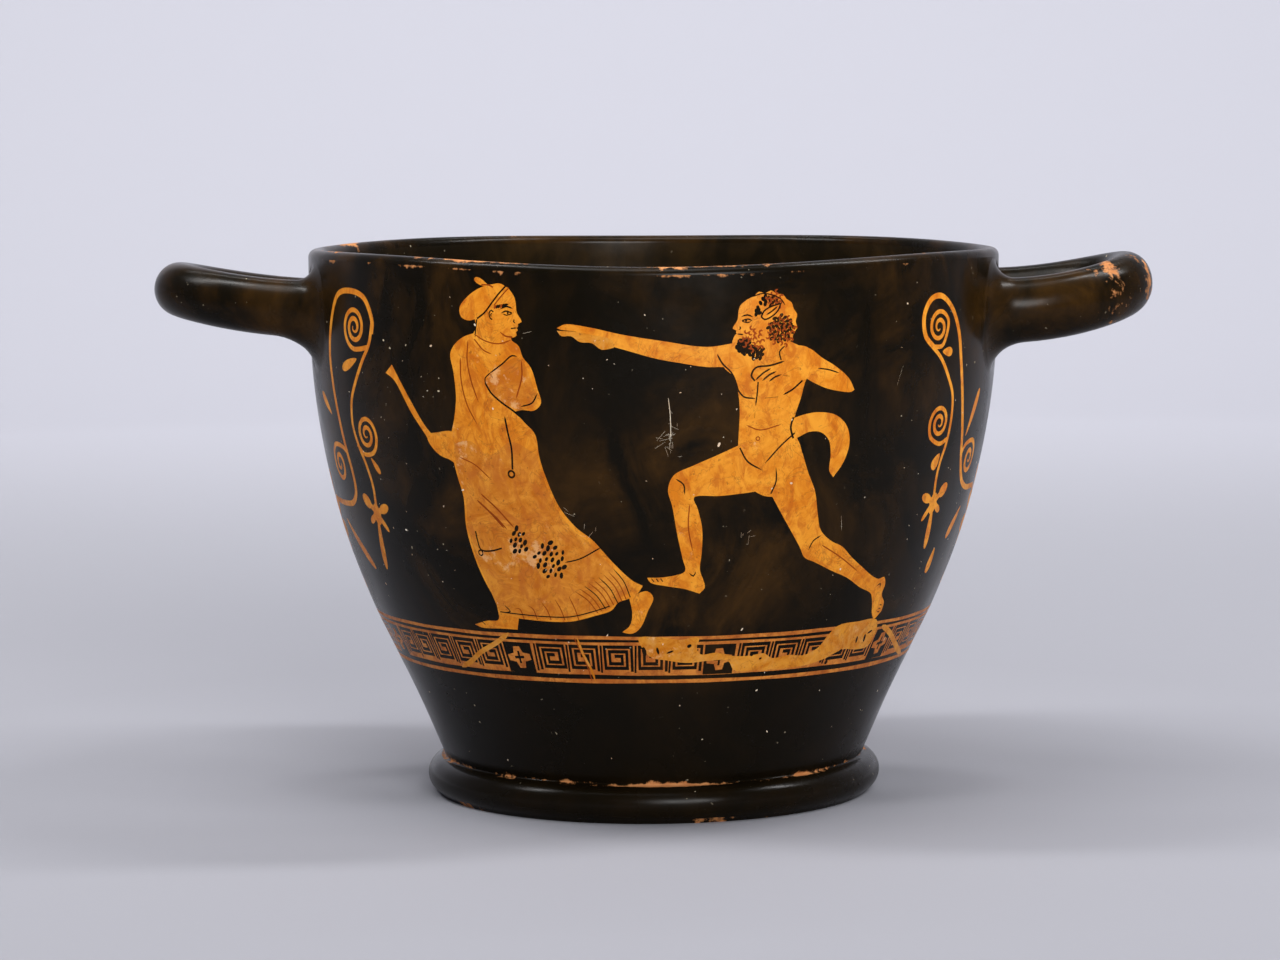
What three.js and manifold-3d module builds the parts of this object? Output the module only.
// A skyphos: a deep, wheel-thrown drinking cup of fired clay with a ring foot and two loop
// handles set just below the rim. Millimetres, +Z up. The origin is on the surface that the cup
// stands on, under the middle of the rim. The front faces -Y, and the handles point along +X and -X.
import * as THREE from "three";
import { mergeVertices } from "three/addons/utils/BufferGeometryUtils.js";
import Module from "manifold-3d";

const wasm = await Module();
wasm.setup();

// Outside of the bowl: the wall's radius at heights from the foot to the lip
const wallOutline = [
  { height: 12.0, radius: 67.0 },
  { height: 30.7, radius: 75.0 },
  { height: 46.0, radius: 82.3 },
  { height: 61.5, radius: 89.7 },
  { height: 83.5, radius: 98.0 },
  { height: 105.5, radius: 103.6 },
  { height: 127.5, radius: 107.0 },
  { height: 149.5, radius: 108.2 },
  { height: 170.5, radius: 107.9 },
];

// Lip, a plain half round on top of the wall
const lipHeight = 173.1;
const lipHalfWidth = 2.5;
const lipRise = 2.6;

// Thickness of the clay
const rimThickness = 5.0;
const lowerWallThickness = 7.0;
const lowerWallHeight = 34.0;
const floorTop = 14.8;
const floorFlatRadius = 38.0;

// Ring foot, with its hollow underside
const footRadius = 72.4;
const footHeight = 11.6;
const footRingMiddle = 66.4;
const restOuterRadius = 69.0;
const restInnerRadius = 64.4;
const footInnerRadius = 60.5;
const undersideHeight = 7.6;

// The pot isn't quite true: it leans a little, its rim rises and falls, and is pulled out at the handles
const lean = 0.0075;
const leanMiddle = 158.0;
const waveStart = 60.0;
const waveOnce = -1.9;
const waveTwice = -0.4;
const waveThrice = -0.4;
const waveFourTimes = -0.5;
const waveSideways = -0.6;
const pulledOut = 1.6;

// Handles
const handleReach = 150.6;
const handleStart = 97.0;
const handleHalfSpan = 27.0;
const handleHalfThickness = 8.0;
const handleSquareness = 0.86;
const handlePlugDepth = 2.6;
const slantLength = 14.0;
const filletShare = 0.8;
const sideFillet = 7.0;
const rightHandle = {
  level: 153.9,
  rise: 6.8,
  bend: 1.9,
  tilt: 0.03,
  legHalfHeight: 10.2,
  tipHalfHeight: 9.7,
  upperFillet: 6.8,
  lowerFillet: 9.5,
};
const leftHandle = {
  level: 155.0,
  rise: 6.1,
  bend: 1.6,
  tilt: 0.023,
  legHalfHeight: 8.9,
  tipHalfHeight: 8.5,
  upperFillet: 5.5,
  lowerFillet: 12.0,
};
const riseStart = 110.0;

// Fineness of the faceted solid
const turnSteps = 72;
const wallSteps = 12;
const innerSteps = 8;
const arcSteps = 6;
const handleSteps = 17;
const handleSides = 16;
const rootDistances = [-handlePlugDepth, 0, 1.5, 3.5, 6.5, 10.5];

const lipMiddle = lipHeight - lipRise;

function slopeAt(index) {
  const before = wallOutline[Math.max(index - 1, 0)];
  const after = wallOutline[Math.min(index + 1, wallOutline.length - 1)];
  return (after.radius - before.radius) / (after.height - before.height);
}

// A smooth curve through the outline's points
function wallRadius(height) {
  let index = 0;
  while (index < wallOutline.length - 2 && height > wallOutline[index + 1].height) {
    index += 1;
  }
  const low = wallOutline[index];
  const high = wallOutline[index + 1];
  const span = high.height - low.height;
  const t = (height - low.height) / span;
  const lowWeight = 2 * t ** 3 - 3 * t ** 2 + 1;
  const lowSlope = (t ** 3 - 2 * t ** 2 + t) * span * slopeAt(index);
  const highSlope = (t ** 3 - t ** 2) * span * slopeAt(index + 1);
  return lowWeight * low.radius + lowSlope + (1 - lowWeight) * high.radius + highSlope;
}

function warpShare(height) {
  return Math.max(0, (height - waveStart) / (lipHeight - waveStart)) ** 2;
}

// The turn is measured from the front (-Y) towards +X
function rimWave(turn) {
  return waveOnce * Math.cos(turn) + waveTwice * Math.cos(2 * turn) + waveThrice * Math.cos(3 * turn)
    + waveFourTimes * Math.cos(4 * turn) + waveSideways * Math.sin(turn);
}

function pull(turn, height) {
  return pulledOut * warpShare(height) * Math.sin(turn) ** 6;
}

function ellipseArc(centre, halfWidth, halfHeight, fromDegrees, toDegrees, steps) {
  const points = [];
  for (let step = 0; step <= steps; step += 1) {
    const angle = THREE.MathUtils.degToRad(fromDegrees + ((toDegrees - fromDegrees) * step) / steps);
    points.push(new THREE.Vector2(
      centre.x + halfWidth * Math.cos(angle),
      centre.y + halfHeight * Math.sin(angle),
    ));
  }
  return points;
}

function underside() {
  return [
    new THREE.Vector2(0, undersideHeight + 0.6),
    new THREE.Vector2(footInnerRadius - 6, undersideHeight),
    new THREE.Vector2(footInnerRadius - 1.5, undersideHeight - 1),
    new THREE.Vector2(footInnerRadius + 1.2, undersideHeight / 2),
    new THREE.Vector2(restInnerRadius, 0),
    new THREE.Vector2(restOuterRadius, 0),
  ];
}

function footRoll() {
  const middle = new THREE.Vector2(footRingMiddle, footHeight / 2);
  return ellipseArc(middle, footRadius - footRingMiddle, footHeight / 2, -55, 82, arcSteps + 2);
}

function outerWall() {
  const points = [];
  const bottom = wallOutline[0].height;
  for (let step = 0; step < wallSteps; step += 1) {
    const height = bottom + ((lipMiddle - bottom) * step) / wallSteps;
    points.push(new THREE.Vector2(wallRadius(height), height));
  }
  return points;
}

function lip() {
  const middle = new THREE.Vector2(wallRadius(lipMiddle) - lipHalfWidth, lipMiddle);
  return ellipseArc(middle, lipHalfWidth, lipRise, 0, 180, arcSteps);
}

function innerRadius(height) {
  const share = (lipMiddle - height) / (lipMiddle - lowerWallHeight);
  const thickness = rimThickness + (lowerWallThickness - rimThickness) * share ** 2;
  return wallRadius(height) - thickness;
}

function innerWall() {
  const points = [];
  for (let step = 1; step < innerSteps; step += 1) {
    const height = lipMiddle + ((lowerWallHeight - lipMiddle) * step) / innerSteps;
    points.push(new THREE.Vector2(innerRadius(height), height));
  }
  return points;
}

function bowlFloor() {
  const middle = new THREE.Vector2(floorFlatRadius, lowerWallHeight);
  const halfWidth = innerRadius(lowerWallHeight) - floorFlatRadius;
  const corner = ellipseArc(middle, halfWidth, lowerWallHeight - floorTop, 0, -90, arcSteps);
  return [...corner, new THREE.Vector2(0, floorTop - 0.3)];
}

function warp(geometry) {
  const places = geometry.getAttribute("position");
  for (let index = 0; index < places.count; index += 1) {
    const x = places.getX(index);
    const y = places.getY(index);
    const height = places.getZ(index);
    const turn = Math.atan2(x, -y);
    const radius = Math.hypot(x, y);
    const stretch = radius > 0 ? (radius + pull(turn, height)) / radius : 1;
    const aside = lean * (height - leanMiddle);
    places.setXYZ(index, x * stretch + aside, y * stretch, height + rimWave(turn) * warpShare(height));
  }
}

function solidFrom(geometry) {
  geometry.deleteAttribute("normal");
  geometry.deleteAttribute("uv");
  const merged = mergeVertices(geometry, 1e-4);
  const corners = merged.getIndex().array;
  const kept = [];
  for (let index = 0; index < corners.length; index += 3) {
    const [a, b, c] = [corners[index], corners[index + 1], corners[index + 2]];
    if (a !== b && b !== c && c !== a) {
      kept.push(a, b, c);
    }
  }
  return new wasm.Manifold(new wasm.Mesh({
    numProp: 3,
    vertProperties: new Float32Array(merged.getAttribute("position").array),
    triVerts: new Uint32Array(kept),
  }));
}

function geometryFrom(solid) {
  const mesh = solid.getMesh();
  const geometry = new THREE.BufferGeometry();
  geometry.setAttribute("position", new THREE.BufferAttribute(mesh.vertProperties, 3));
  geometry.setIndex(new THREE.BufferAttribute(mesh.triVerts, 1));
  geometry.computeVertexNormals();
  return geometry;
}

function bowl() {
  const profile = [
    ...underside(), ...footRoll(), ...outerWall(), ...lip(), ...innerWall(), ...bowlFloor(),
  ];
  const geometry = new THREE.LatheGeometry(profile, turnSteps);
  geometry.rotateX(Math.PI / 2);
  warp(geometry);
  return solidFrom(geometry);
}

// Where the outside of the wall is, along +X, at a place beside and above the middle
function wallFace(y, height) {
  const turn = Math.PI / 2 + Math.asin(y / wallRadius(height));
  const radius = wallRadius(height) + pull(turn, height);
  return Math.sqrt(radius ** 2 - y ** 2);
}

function fillet(radius, distance) {
  const share = 1 - Math.max(distance, 0) / radius;
  return share > 0 ? filletShare * radius * share ** 2 : 0;
}

// The loop's centre line, seen from above, is half of a squared-off ellipse
function loopCentre(angle, handle) {
  const sine = Math.sin(angle);
  const cosine = Math.cos(angle);
  const x = handleStart + (handleReach - handleStart) * sine ** handleSquareness;
  const y = -handleHalfSpan * Math.sign(cosine) * Math.abs(cosine) ** handleSquareness;
  const share = Math.max(0, (x - riseStart) / (handleReach - riseStart));
  const z = handle.level + handle.rise * share ** handle.bend + handle.tilt * y;
  return new THREE.Vector3(x, y, z);
}

function angleAtDistance(distance) {
  const x = wallFace(handleHalfSpan, rightHandle.level) + distance;
  const share = (x - handleStart) / (handleReach - handleStart);
  return Math.asin(share ** (1 / handleSquareness));
}

function loopRing(angle, handle) {
  const nudge = 0.001;
  const centre = loopCentre(angle, handle);
  const ahead = loopCentre(angle + nudge, handle).sub(loopCentre(angle - nudge, handle));
  const across = new THREE.Vector3(ahead.y, -ahead.x, 0).normalize();
  const upward = across.clone().cross(ahead).normalize();
  const distance = centre.x - wallFace(centre.y, centre.z);
  const slant = 1 - THREE.MathUtils.smoothstep(distance, 0, slantLength);
  const halfHeight = THREE.MathUtils.lerp(handle.tipHalfHeight, handle.legHalfHeight, Math.cos(angle) ** 2);
  const ring = [];
  for (let side = 0; side < handleSides; side += 1) {
    const turn = (2 * Math.PI * side) / handleSides;
    const ends = Math.sin(turn) > 0 ? handle.upperFillet : handle.lowerFillet;
    const width = handleHalfThickness + fillet(sideFillet, distance);
    const height = halfHeight + fillet(ends, distance);
    const point = centre.clone()
      .addScaledVector(across, width * Math.cos(turn))
      .addScaledVector(upward, height * Math.sin(turn));
    point.x += slant * (wallFace(point.y, point.z) - wallFace(centre.y, centre.z));
    ring.push(point);
  }
  return ring;
}

function loopAngles() {
  const roots = rootDistances.map(angleAtDistance);
  const first = roots[roots.length - 1];
  const angles = [...roots];
  for (let step = 1; step < handleSteps; step += 1) {
    angles.push(first + ((Math.PI - 2 * first) * step) / handleSteps);
  }
  return [...angles, ...roots.map((angle) => Math.PI - angle).reverse()];
}

function handleLoop(handle, turned) {
  const rings = loopAngles().map((angle) => loopRing(angle, handle));
  const places = [];
  const corners = [];
  for (const ring of rings) {
    for (const point of ring) {
      places.push(point.x, point.y, point.z);
    }
  }
  for (let row = 0; row < rings.length - 1; row += 1) {
    for (let side = 0; side < handleSides; side += 1) {
      const next = (side + 1) % handleSides;
      const a = row * handleSides + side;
      const b = row * handleSides + next;
      corners.push(a, a + handleSides, b, b, a + handleSides, b + handleSides);
    }
  }
  const last = (rings.length - 1) * handleSides;
  for (let side = 1; side < handleSides - 1; side += 1) {
    corners.push(0, side, side + 1);
    corners.push(last, last + side + 1, last + side);
  }
  const geometry = new THREE.BufferGeometry();
  geometry.setAttribute("position", new THREE.Float32BufferAttribute(places, 3));
  geometry.setIndex(corners);
  geometry.rotateZ(turned);
  return solidFrom(geometry);
}

function vessel() {
  const right = handleLoop(rightHandle, 0);
  const left = handleLoop(leftHandle, Math.PI);
  return geometryFrom(bowl().add(right).add(left));
}

const blackGloss = new THREE.MeshStandardMaterial({
  color: 0x1c1812,
  roughness: 0.32,
  metalness: 0,
});

const cup = new THREE.Mesh(vessel(), blackGloss);
cup.name = "skyphos";

const object = new THREE.Group();
object.add(cup);

export default object;
